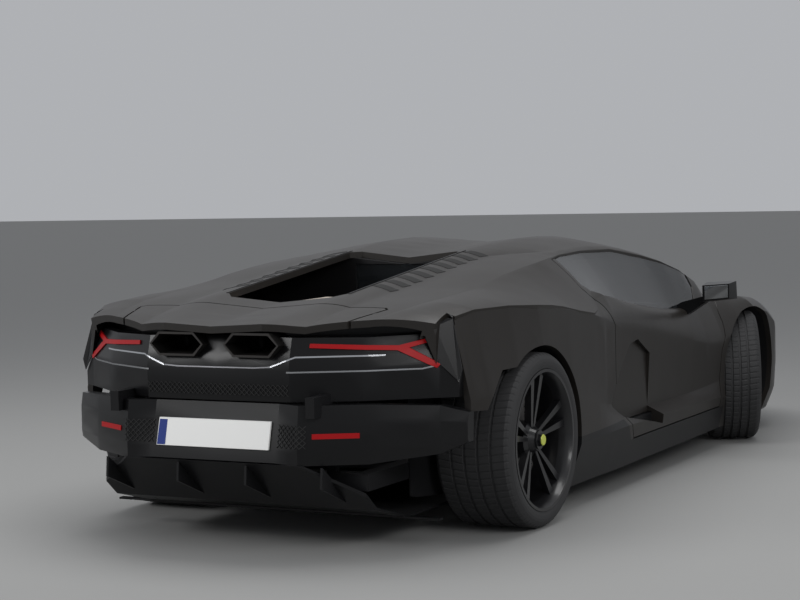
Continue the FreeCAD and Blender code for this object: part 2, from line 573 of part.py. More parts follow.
# Tub: floor, sills, wheelhouses, bulkheads, rails and door posts
inside = inside_lower.fuse(inside_upper)
WALL = 6
RAIL_TOP = 330
front_liner = cross_rod(FRONT_AXLE, FRONT_TYRE_R - ARCH_DROP_FRONT, FRONT_TYRE_R + ARCH_GAP_FRONT + LINER,
                        HOUSE_Y_FRONT, FAR).cut(front_arch)
rear_liner = cross_rod(REAR_AXLE, REAR_TYRE_R, REAR_TYRE_R + ARCH_GAP_REAR + LINER, HOUSE_Y_REAR,
                       FAR).cut([rear_arch, box(-2600, REAR_AXLE, 0, FAR, 0, 680)])
low_side = box(-2600, 2600, 640, FAR, 0, 200)
front_house = front_liner.fuse(box(974, 1762, HOUSE_Y_FRONT - WALL, HOUSE_Y_FRONT, 118, 728))
front_house = largest(front_house.common(inside_lower).cut(low_side))
rear_house = rear_liner.fuse(box(-1915, -1005, HOUSE_Y_REAR - WALL, HOUSE_Y_REAR, 118, 790))
rear_house = largest(rear_house.common(inside_lower).cut(low_side))
frame = joined([
    box(-700, 960, 0, 790, 118, 143),
    box(960, FIREWALL_X + 24, 0, HOUSE_Y_FRONT - WALL, 118, 143),
    box(-700, 968, 780, 905, 118, 300),
    box(FIREWALL_X, FIREWALL_X + 24, 0, HOUSE_Y_FRONT - WALL, 118, 690),
    box(FIREWALL_X, 2100, 440, HOUSE_Y_FRONT - WALL, 250, RAIL_TOP),
    box(2040, 2100, 0, HOUSE_Y_FRONT - WALL, 250, RAIL_TOP),
    box(-2250, -700, 560, HOUSE_Y_REAR - WALL, 264, RAIL_TOP),
    box(-2250, -2190, 0, HOUSE_Y_REAR - WALL, 264, RAIL_TOP),
    box(930, 974, 560, 790, 118, 640),
])
bulkhead = box(-724, -700, 0, 790, 118, 1150).cut(box(-800, -600, -10, 270, 900, 1062))
tub_half = frame.fuse([front_house, rear_house, bulkhead.common(inside)])

# Hinges. Each one is a pin fixed to the tub and an eye fixed to the moving panel
door_pin, door_eye, door_bore = hinge(DOOR_PIVOT, DOOR_AXIS, 16, 56)
ARM_SIDE = ((1156, 683), (1144, 697), (1070, 630), (960, 625), (960, 590), (1040, 592), (1082, 616))
door_arm = side_prism(ARM_SIDE, DOOR_PIVOT.y - 7, DOOR_PIVOT.y + 7).fuse(door_eye).cut(door_bore)
POST_SIDE = ((1164, 704), (1136, 704), (960, 640), (960, 590), (1056, 600), (1164, 668))
door_post = side_prism(POST_SIDE, DOOR_PIVOT.y - 27, DOOR_PIVOT.y - 17).fuse(
    side_prism(((974, 640), (960, 640), (960, 590), (974, 590)), 700, DOOR_PIVOT.y - 17))
door_left = door_left.fuse(door_arm)

lid_pin, lid_eye, lid_bore = hinge(LID_PIVOT, V(0, -1, 0), 24, 60)
gooseneck = side_prism(((1271, 674), (1372, 606), (1408, 616), (1440, 712), (1404, 712), (1386, 634),
                        (1289, 690)), LID_PIVOT.y - 10, LID_PIVOT.y + 10)
roof_half = roof_half.cut(box(1300, 1400, LID_PIVOT.y - 18, LID_PIVOT.y + 18, 600, 722))
lid_arm = gooseneck.common(outside).fuse(lid_eye).cut(lid_bore)
lid_post = joined([box(1267, 1293, LID_PIVOT.y - 32, LID_PIVOT.y - 18, 560, 698),
                   box(1267, 1293, LID_PIVOT.y + 18, LID_PIVOT.y + 32, 560, 698),
                   box(FIREWALL_X + 24, 1293, LID_PIVOT.y - 32, LID_PIVOT.y + 32, 560, 590)])
lid_half = largest(lid_half).fuse(lid_arm)

wing_pin = Part.makeCylinder(WING_PIN_R, 60, WING_PIVOT, V(0, 1, 0))
wing_bore = Part.makeCylinder(WING_PIN_R + RUNNING_GAP, 80, WING_PIVOT - V(0, 5, 0), V(0, 1, 0))
deck_half = deck_half.fuse(wing_pin.common(outside))
wing_half = wing_half.cut(wing_bore)

# Tail and nose supports, and the fins of the diffuser
tail_support = joined([box(-2250, -2216, 440, 480, 280, 700), box(-2400, -2216, 440, 480, 560, 640)])
tail_support = tail_support.cut([loft_along_y(FASCIA), loft_along_y(BUMPER)])
nose_support = box(2060, 2500, 300, 340, 262, 320).common(outside).cut(nose_half)
tub_half = joined([tub_half, door_pin, door_post, lid_pin, lid_post, tail_support, nose_support])
tub_half = largest(tub_half.cut(side_skirt_left))
DIFFUSER_SIDE = ((-1960, 118), (-1960, 126), (-2180, 190), (-2400, 376), (-2412, 376), (-2190, 180))
FIN_SIDE = ((-2060, 140), (-2408, 290), (-2400, 372), (-2160, 190))
diffuser_half = side_prism(DIFFUSER_SIDE, 0, 620).cut(plan_region(
    ((-2420, 390), (-2150, 780), (-2600, 780), (-2600, 390)), 0, 500))
for fin_y in (160, 505):
    diffuser_half = diffuser_half.fuse(side_prism(FIN_SIDE, fin_y - 5, fin_y + 5))
diffuser_half = diffuser_half.cut(bumper_half)
undertray_half = box(-1960, 2150, 0, 780, 110, 118)
for pad_x in JACK_PADS_X:
    undertray_half = undertray_half.fuse(Part.makeCylinder(JACK_PAD_R, 110 - JACK_PAD_Z, V(pad_x, JACK_PAD_Y, JACK_PAD_Z)))
undertray_half = undertray_half.cut([box(954, 1782, HOUSE_Y_FRONT - WALL, FAR, 0, 200),
                                     box(-1930, -990, HOUSE_Y_REAR - WALL, FAR, 0, 200),
                                     nose_half])


def whole(half):
    return largest(half.fuse(mirrored(half)).removeSplitter())


# Engine in the open bay: block, heads, intake cover and brace
engine_block = front_prism(((-150, 250), (150, 250), (190, 420), (330, 640), (220, 730), (60, 640),
                            (-60, 640), (-220, 730), (-330, 640), (-190, 420)), -1660, -880)
engine_feet = joined([box(-1300, -1200, -560, 560, 280, 320), engine_block])
cover = front_prism(((-170, 731), (170, 731), (190, 820), (120, 868), (-120, 868), (-190, 820)), -1500, -960)
cover_neck = box(-1400, -1060, -55, 55, 640, 731)
nodes["engine"] = engine_feet
nodes["engine_cover"] = cover.fuse(cover_neck)
BRACE_R = 14
brace_rear = (-1830, 200, 925)
brace_half = joined([rod((-724, 60, 905), (-1300, 60, 905), BRACE_R), rod((-1300, 60, 905), brace_rear, BRACE_R)])

# Cabin: dashboard, tunnel, steering wheel and seats
DASH_SIDE = ((FIREWALL_X, 640), (FIREWALL_X, 500), (1000, 470), (760, 560), (720, 640), (780, 690), (1000, 700))
dashboard = side_prism(DASH_SIDE, -540, 540).fuse(side_prism(((940, 560), (760, 560), (720, 640), (780, 690),
                                                              (940, 698)), -770, 770))
tunnel = front_prism(((-150, 143), (150, 143), (120, 400), (-120, 400)), -640, 1100)
tunnel = tunnel.fuse(front_prism(((-100, 400), (100, 400), (90, 560), (-90, 560)), 700, 1100))
nodes["dashboard"] = largest(joined([dashboard, tunnel]).cut([tub_half, mirrored(tub_half)]))
SEAT_Y = 380
SEAT_SIDE = ((-600, 1000), (-560, 620), (-420, 180), (180, 180), (260, 400), (180, 430), (-250, 340), (-330, 420),
             (-470, 800), (-500, 1000))
seat = side_prism(SEAT_SIDE, SEAT_Y - 230, SEAT_Y + 230)
seat = seat.fuse(box(-400, 150, SEAT_Y - 180, SEAT_Y + 180, 143, 180))
nodes["seats"] = both_sides(seat)
WHEEL_CENTRE = V(520, SEAT_Y, 690)
COLUMN_AXIS = V(-0.93, 0, 0.37).normalize()
steering_wheel = Part.makeTorus(175, 15, CENTRE, V(0, 0, 1))
column = Part.makeCylinder(26, 260, V(0, 0, -250), V(0, 0, 1))
steering_wheel = joined([steering_wheel, column, Part.makeCylinder(55, 30, V(0, 0, -15)),
                         box(-172, 172, -20, 20, -10, 10), box(-18, 18, -172, 0, -9, 9)])
tilt = FreeCAD.Rotation(V(0, 0, 1), COLUMN_AXIS)
steering_wheel.Placement = FreeCAD.Placement(WHEEL_CENTRE, tilt)
nodes["steering_wheel"] = steering_wheel.cut(nodes["dashboard"])

# Mirrors on the doors
mirror_arm = front_prism(((810, 730), (880, 728), (1000, 806), (1000, 830), (850, 790), (810, 770)), 660, 720)
mirror_shell = Part.makeLoft([
    Part.makePolygon([V(590, 985, 800), V(590, 1125, 815), V(590, 1125, 890), V(590, 985, 880), V(590, 985, 800)]),
    Part.makePolygon([V(690, 975, 790), V(690, 1133, 808), V(690, 1130, 897), V(690, 975, 890), V(690, 975, 790)]),
    Part.makePolygon([V(770, 1000, 815), V(770, 1100, 825), V(770, 1100, 870), V(770, 1000, 865),
                      V(770, 1000, 815)])], True, True)
mirror_left = largest(joined([mirror_arm, mirror_shell]).cut([door_left, glass_form]))

brace_half = brace_half.cut(skin)
nodes["tub"] = whole(tub_half)
nodes["undertray"] = whole(undertray_half)
nodes["front_fenders"] = both_sides(front_fender_left)
nodes["quarter_left"] = quarter_left
nodes["side_skirts"] = both_sides(side_skirt_left)
nodes["door_left"] = largest(door_left)
nodes["door_glass_left"] = largest(door_glass_left)
nodes["mirror_left"] = mirror_left
for name in ("quarter", "door", "door_glass", "mirror"):
    nodes[name + "_right"] = mirrored(nodes[name + "_left"])
nodes["roof"] = whole(roof_half)
nodes["fixed_glass"] = Part.makeCompound([whole(windscreen_half), box(-715, -709, -270, 270, 900, 1062)])
nodes["rear_deck"] = whole(deck_half)
nodes["rear_wing"] = whole(wing_half)
nodes["front_lid"] = whole(lid_half)
nodes["front_bumper"] = whole(nose_half)
nodes["headlamps"] = both_sides(headlamp_left)
nodes["rear_fascia"] = whole(fascia_half)
nodes["rear_bumper"] = whole(bumper_half)
nodes["diffuser"] = whole(diffuser_half)
nodes["exhaust_tips"] = both_sides(exhaust_left)
nodes["tail_lamps"] = both_sides(tail_lamp_left)
nodes["engine_brace"] = both_sides(brace_half)

os.makedirs("parts", exist_ok=True)
for name, shape in nodes.items():
    shape.translated(V(SHIFT_X, 0, 0)).exportStep("parts/" + name + ".step")
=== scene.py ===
import bpy
import json
import math
from collections import namedtuple
from mathutils import Matrix, Vector
from mathutils.bvhtree import BVHTree


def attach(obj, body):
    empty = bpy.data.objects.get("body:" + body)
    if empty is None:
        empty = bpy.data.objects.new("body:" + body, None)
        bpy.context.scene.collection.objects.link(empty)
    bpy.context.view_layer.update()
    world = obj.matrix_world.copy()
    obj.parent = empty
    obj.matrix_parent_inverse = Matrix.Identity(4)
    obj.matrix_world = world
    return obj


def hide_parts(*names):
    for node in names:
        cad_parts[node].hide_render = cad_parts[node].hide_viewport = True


# Looks of a mid-engined supercar. Places are given in mm, with x measured from the point that the
# tables of the part's source use, 52.5 mm behind the middle of the car. at() turns them into the
# frame's metres.
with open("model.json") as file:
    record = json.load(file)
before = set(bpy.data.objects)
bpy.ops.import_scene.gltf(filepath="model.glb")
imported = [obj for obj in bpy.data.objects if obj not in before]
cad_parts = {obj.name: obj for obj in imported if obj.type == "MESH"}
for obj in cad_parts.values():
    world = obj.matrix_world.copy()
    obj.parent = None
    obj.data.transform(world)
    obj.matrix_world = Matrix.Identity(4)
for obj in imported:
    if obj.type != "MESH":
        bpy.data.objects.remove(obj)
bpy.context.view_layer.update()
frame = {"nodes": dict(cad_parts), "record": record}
nodes = frame["nodes"]
SHIFT_X = -52.5
REARWARD = (1, 0, 0)
DOWN = (0, 0, -1)

FRONT_AXLE = 1368
REAR_AXLE = -1411
KINGPIN_Y = 820
STEER_REST = 24
Wheel = namedtuple("Wheel", "radius width rim_radius disc_face axle_x middle_y side steered")
WHEELS = {
    "fl": Wheel(346, 265, 272, 20, FRONT_AXLE, 860, 1, True),
    "fr": Wheel(346, 265, 272, 20, FRONT_AXLE, 860, -1, True),
    "rl": Wheel(368, 345, 286, 40, REAR_AXLE, 833, 1, False),
    "rr": Wheel(368, 345, 286, 40, REAR_AXLE, 833, -1, False),
}


def at(x, y, z):
    return Vector(((x + SHIFT_X) / 1000, y / 1000, z / 1000))


def row(points, side=1):
    """A row of (x, y, z) places on one side of the car."""
    return [at(x, side * y, z) for x, y, z in points]


def section(x, pairs, side=1):
    """A ring across the car at one x, from (y, z) pairs."""
    return [at(x, side * y, z) for y, z in pairs]


def shifted(points, x):
    """The same points, moved along the car by x metres."""
    return [v + Vector((x, 0, 0)) for v in points]


# Materials
IOR = 1.5
COAT_ROUGHNESS = 0.08
BUMP_HEIGHT = 0.001


def material(name, colour, rough, metal=0.0, coat=0.0, emission=0.0, alpha=1.0,
             bump=0.0, noise_scale=400.0, specular=0.5, vary=0.0):
    """A shader with one colour, and a fine noise bump or a roughness that varies a little."""
    made = bpy.data.materials.new(name)
    made.use_nodes = True
    tree = made.node_tree
    shader = tree.nodes["Principled BSDF"]
    shader.inputs["Base Color"].default_value = (*colour, 1)
    shader.inputs["Roughness"].default_value = rough
    shader.inputs["Metallic"].default_value = metal
    shader.inputs["Coat Weight"].default_value = coat
    shader.inputs["Coat Roughness"].default_value = COAT_ROUGHNESS
    shader.inputs["IOR"].default_value = IOR
    shader.inputs["Specular IOR Level"].default_value = specular
    shader.inputs["Alpha"].default_value = alpha
    if emission:
        shader.inputs["Emission Color"].default_value = (*colour, 1)
        shader.inputs["Emission Strength"].default_value = emission
    if bump or vary:
        place = tree.nodes.new("ShaderNodeTexCoord")
        noise = tree.nodes.new("ShaderNodeTexNoise")
        noise.inputs["Scale"].default_value = noise_scale
        noise.inputs["Detail"].default_value = 3
        tree.links.new(place.outputs["Object"], noise.inputs["Vector"])
    if bump:
        relief = tree.nodes.new("ShaderNodeBump")
        relief.inputs["Strength"].default_value = bump
        relief.inputs["Distance"].default_value = BUMP_HEIGHT
        tree.links.new(noise.outputs["Fac"], relief.inputs["Height"])
        tree.links.new(relief.outputs["Normal"], shader.inputs["Normal"])
    if vary:
        span = tree.nodes.new("ShaderNodeMapRange")
        span.inputs["To Min"].default_value = rough - vary
        span.inputs["To Max"].default_value = rough + vary
        tree.links.new(noise.outputs["Fac"], span.inputs["Value"])
        tree.links.new(span.outputs["Result"], shader.inputs["Roughness"])
    return made


def weave(name, light, dark, rough, scale):
    """Carbon fibre, as a fine check of two dark greys."""
    made = material(name, dark, rough, specular=0.16, coat=0.03)
    tree = made.node_tree
    shader = tree.nodes["Principled BSDF"]
    place = tree.nodes.new("ShaderNodeTexCoord")
    checker = tree.nodes.new("ShaderNodeTexChecker")
    checker.inputs["Scale"].default_value = scale
    checker.inputs["Color1"].default_value = (*light, 1)
    checker.inputs["Color2"].default_value = (*dark, 1)
    tree.links.new(place.outputs["Object"], checker.inputs["Vector"])
    tree.links.new(checker.outputs["Color"], shader.inputs["Base Color"])
    return made


paint = material("paint", (0.0145, 0.0125, 0.0108), 0.42, specular=0.32, coat=0.04, vary=0.03,
                 noise_scale=6)
gloss_black = material("gloss_black", (0.004, 0.004, 0.0045), 0.30, specular=0.26, coat=0.04)
carbon = weave("carbon", (0.013, 0.013, 0.014), (0.006, 0.006, 0.0065), 0.42, 260)
glass = material("glass", (0.016, 0.018, 0.020), 0.04, alpha=0.72, specular=0.5, coat=0.15)
tyre_rubber = material("tyre", (0.022, 0.022, 0.023), 0.78, bump=0.25, noise_scale=900)
rim_black = material("rim", (0.008, 0.008, 0.009), 0.3, specular=0.4, coat=0.25)
disc_steel = material("disc", (0.30, 0.29, 0.28), 0.38, metal=0.9, bump=0.2, noise_scale=220)
suspension = material("suspension", (0.16, 0.16, 0.17), 0.45, metal=0.8)
bare_steel = material("steel", (0.55, 0.56, 0.58), 0.22, metal=1.0)
red_lamp = material("red_lamp", (0.30, 0.004, 0.006), 0.4, specular=0.2, emission=0.12)
clear_lamp = material("clear_lamp", (0.10, 0.11, 0.12), 0.05, alpha=0.72, coat=1.0)
white_lamp = material("white_lamp", (0.85, 0.88, 0.92), 0.2, emission=0.5)
engine_grey = material("engine", (0.05, 0.05, 0.052), 0.5, metal=0.6, bump=0.6, noise_scale=160)
copper = material("cover", (0.70, 0.42, 0.27), 0.3, metal=0.75, vary=0.05, noise_scale=20)
cream = material("cream", (0.40, 0.35, 0.295), 0.5)
trim = material("trim", (0.06, 0.056, 0.052), 0.62, bump=0.5, noise_scale=700)
seat_leather = material("seat", (0.045, 0.045, 0.047), 0.55, bump=0.6, noise_scale=600)
exhaust_metal = material("exhaust", (0.055, 0.052, 0.05), 0.42, metal=0.9, vary=0.06, noise_scale=12)
# Near-black for painted shade in the drilled disc holes, louvre slots and plenum slots, and for soot
# with painted shade inside the exhaust pipes
shade_and_soot = material("shade_and_soot", (0.006, 0.006, 0.006), 0.9)
rubber = material("rubber", (0.012, 0.012, 0.012), 0.7)
plate_white = material("plate", (0.80, 0.80, 0.78), 0.4)
plate_blue = material("plate_blue", (0.008, 0.03, 0.20), 0.5, specular=0.2)
yellow_green = material("hub_ring", (0.50, 0.55, 0.08), 0.35)
mirror_glass = material("mirror_glass", (0.75, 0.78, 0.80), 0.03, metal=1.0)

by_slot = {
    "paint": paint, "gloss_black": gloss_black, "carbon": carbon, "glass": glass, "tyre": tyre_rubber,
    "rim": rim_black, "disc": disc_steel, "suspension": suspension,
    "red_lamp": red_lamp, "clear_lamp": clear_lamp, "engine": engine_grey, "cover": copper,
    "trim": trim, "seat": seat_leather, "exhaust": exhaust_metal,
}
SHARPEST_CURVE = math.radians(16)
WELD_GAP = 0.00002
for subpart in frame["record"]["subparts"]:
    thing = nodes[subpart["node"]]
    thing.data.materials.clear()
    thing.data.materials.append(by_slot[subpart["material_slot"]])
    # Shade gently curved panels smooth and keep their creases sharp
    for polygon in thing.data.polygons:
        polygon.use_smooth = True
    weld = thing.modifiers.new("weld", "WELD")
    weld.merge_threshold = WELD_GAP
    crease = thing.modifiers.new("crease", "EDGE_SPLIT")
    crease.split_angle = SHARPEST_CURVE


# Making pieces
def piece(name, verts, faces, look, body, smooth=False, bevel=0.0):
    """A mesh from points already in the frame's metres, riding on a body."""
    mesh = bpy.data.meshes.new(name)
    mesh.from_pydata([tuple(v) for v in verts], [], faces)
    mesh.validate()
    mesh.update()
    mesh.materials.append(look)
    made = bpy.data.objects.new(name, mesh)
    bpy.context.scene.collection.objects.link(made)
    for polygon in mesh.polygons:
        polygon.use_smooth = smooth
    if bevel:
        edge = made.modifiers.new("edge", "BEVEL")
        edge.width = bevel
        edge.segments = 2
        edge.limit_method = "ANGLE"
    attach(made, body)
    return made


class Build:
    """Collects the points and faces of many small solids for one joined mesh."""

    def __init__(self):
        self.verts = []
        self.faces = []

    def hull(self, ring_a, ring_b, cap=True):
        """Join two rings of the same number of points, and close the ends."""
        first = len(self.verts)
        count = len(ring_a)
        self.verts += list(ring_a) + list(ring_b)
        for i in range(count):
            j = (i + 1) % count
            self.faces.append((first + i, first + j, first + count + j, first + count + i))
        if cap:
            self.faces.append(tuple(first + i for i in reversed(range(count))))
            self.faces.append(tuple(first + count + i for i in range(count)))

    def sections(self, rings, closed=False):
        """Skin a row of rings, and close its ends unless it runs round to its start."""
        first = len(self.verts)
        count = len(rings[0])
        for ring in rings:
            self.verts += list(ring)
        spans = len(rings) if closed else len(rings) - 1
        for k in range(spans):
            a = first + k * count
            b = first + ((k + 1) % len(rings)) * count
            for i in range(count):
                j = (i + 1) % count
                self.faces.append((a + i, a + j, b + j, b + i))
        if not closed:
            self.faces.append(tuple(first + i for i in reversed(range(count))))
            last = first + (len(rings) - 1) * count
            self.faces.append(tuple(last + i for i in range(count)))

    def box(self, x0, x1, y0, y1, z0, z1):
        """A block between two corners, in mm."""
        low = [at(x0, y0, z0), at(x1, y0, z0), at(x1, y1, z0), at(x0, y1, z0)]
        high = [at(x0, y0, z1), at(x1, y0, z1), at(x1, y1, z1), at(x0, y1, z1)]
        self.hull(low[::-1], high[::-1])

    def tube(self, points, radius, sides):
        """A round tube through points in metres."""
        rings = []
        for i, point in enumerate(points):
            before = points[i - 1] if i else point
            after = points[i + 1] if i < len(points) - 1 else point
            along = (after - before).normalized()
            side = along.cross(Vector((0, 0, 1)))
            if side.length < 0.05:
                side = along.cross(Vector((0, 1, 0)))
            side.normalize()
            up = side.cross(along)
            turns = [2 * math.pi * k / sides for k in range(sides)]
            rings.append([point + radius * (math.cos(a) * side + math.sin(a) * up) for a in turns])
        self.sections(rings)

    def make(self, name, look, body, slot=None, smooth=False, bevel=0.0):
        return piece(name, self.verts, self.faces, look, body, smooth, bevel)


def surface(names):
    """The named parts as one surface that trim is set on."""
    verts, faces = [], []
    for name in names:
        mesh = nodes[name].data
        first = len(verts)
        verts += [vertex.co.copy() for vertex in mesh.vertices]
        faces += [tuple(first + k for k in polygon.vertices) for polygon in mesh.polygons]
    return BVHTree.FromPolygons(verts, faces)


BODY_PANELS = [name for name in nodes if name in (
    "front_fenders", "quarter_left", "quarter_right", "door_left", "door_right", "roof", "rear_deck",
    "rear_wing", "front_lid", "front_bumper", "rear_fascia", "rear_bumper", "side_skirts")]
shell = surface(BODY_PANELS)


def on_shell(point, direction, tree=None):
    """Where a ray from outside the body meets it, starting one metre before the point."""
    direction = Vector(direction).normalized()
    found = (tree or shell).ray_cast(point - direction, direction)
    if found[0] is None:
        found = shell.ray_cast(point - direction, direction)
    return found[0] if found[0] is not None else point


RIBBON_STEP = 0.02
RIBBON_DEPTH = 0.004


def resampled(points):
    """More points on the same line, a ribbon's step apart."""
    result = [points[0]]
    for a, b in zip(points, points[1:]):
        count = max(1, int((b - a).length / RIBBON_STEP))
        result += [a.lerp(b, (i + 1) / count) for i in range(count)]
    return result


def ribbon(build, points, direction, width, proud, tree=None):
    """A flat strip laid on the body along points, seen along the direction. Lengths in metres."""
    direction = Vector(direction).normalized()
    samples = resampled(points)
    rings = []
    for i, point in enumerate(samples):
        along = samples[min(i + 1, len(samples) - 1)] - samples[max(i - 1, 0)]
        across = along.cross(direction).normalized() * (width / 2)
        outer_a = on_shell(point + across, direction, tree) - direction * proud
        outer_b = on_shell(point - across, direction, tree) - direction * proud
        inward = direction * (proud + RIBBON_DEPTH)
        rings.append([outer_a, outer_b, outer_b + inward, outer_a + inward])
    build.sections(rings)


# Wheels: tyres with a tread in place of the plain rings, centre locks and drilled discs
WALL, LAND, GROOVE = 0, 1, 2
GROOVES = 4
GROOVE_DEPTH = 7
# Offset from a groove's middle, depth and kind of each of its points
GROOVE_POINTS = ((-7, 0, LAND), (-5, GROOVE_DEPTH, GROOVE), (5, GROOVE_DEPTH, GROOVE), (7, 0, LAND))
CROWN_DROP = 4


def tread_profile(radius, width, rim_radius):
    """The tyre's section from bead to bead, as (y, radius, kind of point)."""
    half = width / 2
    bead = rim_radius + 12
    mid = (radius + rim_radius) / 2
    left = [(-half + 17, rim_radius, WALL), (-half + 16, bead, WALL), (-half + 4, bead, WALL),
            (-half + 0.6, (bead + mid) / 2, WALL), (-half, mid, WALL),
            (-half + 2, (mid + radius - 20) / 2, WALL), (-half + 8, radius - 20, WALL),
            (-half + 15, radius - 11, LAND), (-half + 26, radius - CROWN_DROP, LAND)]
    shoulder = -half + 26
    pitch = (-2 * shoulder) / (GROOVES + 1)
    crown = []
    for groove in range(GROOVES):
        middle = shoulder + pitch * (groove + 1)
        for offset, depth, kind in GROOVE_POINTS:
            y = middle + offset
            crown.append((y, radius - CROWN_DROP * (y / shoulder) ** 2 - depth, kind))
    right = [(-y, r, kind) for y, r, kind in reversed(left)]
    return left + crown + right


def wheel_matrix(wheel):
    """Places a piece made at the origin, with its outer face toward +Y, at that wheel."""
    flip = Matrix.Diagonal((1, wheel.side, 1, 1))
    place = Matrix.Translation(at(wheel.axle_x, wheel.side * wheel.middle_y, wheel.radius))
    if wheel.steered:
        pivot = at(wheel.axle_x, wheel.side * KINGPIN_Y, wheel.radius)
        turn = Matrix.Rotation(math.radians(STEER_REST), 4, "Z")
        place = Matrix.Translation(pivot) @ turn @ Matrix.Translation(-pivot) @ place
    return place @ flip


def make_wheel_piece(build, name, look, key, slot):
    """Turn a build in mm about the origin into a piece on that wheel."""
    wheel = WHEELS[key]
    matrix = wheel_matrix(wheel)
    build.verts = [matrix @ (Vector(v) / 1000) for v in build.verts]
    if wheel.side < 0:
        build.faces = [tuple(reversed(face)) for face in build.faces]
    return build.make(name + "_" + key, look, "wheel_" + key, slot)


def circle(radius, y, sides):
    """Points around the wheel's axis, in mm."""
    turns = [2 * math.pi * k / sides for k in range(sides)]
    return [Vector((radius * math.cos(a), y, radius * math.sin(a))) for a in turns]


TREAD_STEPS = 360
SIPE_EVERY = 5
SIPE_DEPTH = 3
TREAD_SLANT = 0.022


def tread(wheel):
    """A ring of tyre sections whose cross cuts slant back from the middle."""
    build = Build()
    profile = tread_profile(wheel.radius, wheel.width, wheel.rim_radius)
    rings = []
    for step in range(TREAD_STEPS):
        ring = []
        for y, r, kind in profile:
            angle = 2 * math.pi * (step + TREAD_SLANT * abs(y)) / TREAD_STEPS
            cut = r - SIPE_DEPTH if kind == LAND and step % SIPE_EVERY == 0 else r
            ring.append(Vector((math.sin(angle) * cut, y, math.cos(angle) * cut)))
        rings.append(ring)
    build.sections(rings, closed=True)
    return build


def drums(steps):
    """Closed discs about the wheel's axis, from (y, y, radius, radius, sides) rows."""
    build = Build()
    for y0, y1, r0, r1, sides in steps:
        build.hull(circle(r0, y0, sides)[::-1], circle(r1, y1, sides)[::-1])
    return build


HOLE_RADIUS = 3.2
HOLE_DEPTH = 1.6
HOLE_TURN = 0.013
HOLE_ROWS = ((128, 18), (148, 18), (168, 22), (186, 22))


def disc_holes(disc_face):
    """The drilled holes of a brake disc, as near-black plugs on its outer face: painted shade where
    the holes are.
    """
    build = Build()
    for radius, count in HOLE_ROWS:
        for k in range(count):
            angle = 2 * math.pi * (k + radius * HOLE_TURN) / count
            centre = Vector((radius * math.cos(angle), disc_face, radius * math.sin(angle)))
            low = [centre + v for v in circle(HOLE_RADIUS, -1, 8)]
            high = [v + Vector((0, HOLE_DEPTH, 0)) for v in low]
            build.hull(low[::-1], high[::-1])
    return build


for key, wheel in WHEELS.items():
    tyre = make_wheel_piece(tread(wheel), "tyre_tread", tyre_rubber, key, "tyre")
    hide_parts("tyre_" + key)
    face = wheel.width / 2 - 30
    hub = drums(((face - 8, face + 2, 42, 40, 32), (face + 2, face + 16, 30, 27, 6)))
    make_wheel_piece(hub, "centre_lock", rim_black, key, "rim")
    tinted_ring = drums(((face + 15, face + 19, 24, 21, 40),))
    make_wheel_piece(tinted_ring, "lock_ring", yellow_green, key, "rim")
    # The disc's holes are plugs of painted shade
    make_wheel_piece(disc_holes(wheel.disc_face), "disc_holes", shade_and_soot, key, "disc")

# Tail: silver lines, fog lamps, lamp housings, plate and mesh
FASCIA_TREE = surface(["rear_fascia", "rear_bumper", "quarter_left", "quarter_right"])
UPPER_LINE = ((-2360, 251, 748), (-2308, 356, 787), (-2137, 663, 787))
LOWER_LINE = ((-2325, 325, 729), (-2071, 783, 729), (-2044, 828, 739))
OUTLET_LINE = ((-2360, -248, 748), (-2380, -180, 744), (-2380, 180, 744), (-2360, 248, 748))
FOG_LINE = ((-2367, 451, 487), (-2262, 612, 487))
silver = Build()
fog = Build()
for side in (-1, 1):
    ribbon(silver, row(UPPER_LINE, side), REARWARD, 0.006, 0.003, tree=FASCIA_TREE)
    ribbon(silver, row(LOWER_LINE, side), REARWARD, 0.006, 0.003, tree=FASCIA_TREE)
    ribbon(fog, row(FOG_LINE, side), REARWARD, 0.020, 0.004, tree=FASCIA_TREE)
silver.make("tail_lines", bare_steel, "chassis")
# The black end of each lamp housing, between the fascia and the quarter panel
HOUSING_END = ((-2054, 770, 870), (-2024, 816, 890), (-1984, 848, 920), (-1974, 868, 916),
               (-2000, 917, 722), (-2004, 902, 676), (-2043, 828, 757))
housing = Build()
for side in (-1, 1):
    outer = row(HOUSING_END, side)[::side]
    housing.hull(outer, shifted(outer, 0.004))
housing.make("lamp_ends", gloss_black, "chassis", "gloss_black")
outlet_line = Build()
ribbon(outlet_line, row(OUTLET_LINE), REARWARD, 0.005, 0.003, tree=FASCIA_TREE)
outlet_line.make("outlet_line", suspension, "chassis")
fog.make("fog_lamps", red_lamp, "chassis", "red_lamp")

PLATE_TOP = (-2362, 538)
PLATE_LOW = (-2391, 429)


def plate_ring(y0, y1, lift, inset):
    """The outline of a plate that leans with the bumper, lifted toward the rear."""
    low = [at(PLATE_LOW[0] - lift, y, PLATE_LOW[1] + inset) for y in (y1, y0)]
    top = [at(PLATE_TOP[0] - lift, y, PLATE_TOP[1] - inset) for y in (y0, y1)]
    return low + top


plate = Build()
plate.hull(plate_ring(-264, 264, 6, 0), plate_ring(-264, 264, -4, 0))
plate.make("number_plate", plate_white, "chassis", bevel=0.002)
band = Build()
band.hull(plate_ring(222, 260, 7, 4), plate_ring(222, 260, 5, 4))
band.make("plate_band", plate_blue, "chassis")

MESH_BAR = 0.0015


def lattice(build, y0, y1, z0, z1, place, pitch=0.022):
    """A mesh of crossing slanted bars. place(y, z) gives the x of the mesh in metres."""
    rows = int((z1 - z0) / pitch)
    columns = int((y1 - y0) / pitch)
    for slope in (-1, 1):
        for k in range(-rows, columns + 1):
            points = []
            for r in range(rows + 1):
                y = y0 + (k + (r if slope > 0 else rows - r)) * pitch
                z = z0 + r * pitch
                if y0 - 1e-6 <= y <= y1 + 1e-6:
                    points.append(Vector((place(y, z), y, z)))
            if len(points) > 1:
                build.tube(points, MESH_BAR, 4)


def behind_tail(y, z):
    """The x of a mesh that stands 3 mm behind the tail."""
    return on_shell(Vector((-2.4, y, z)), REARWARD, FASCIA_TREE).x - 0.003


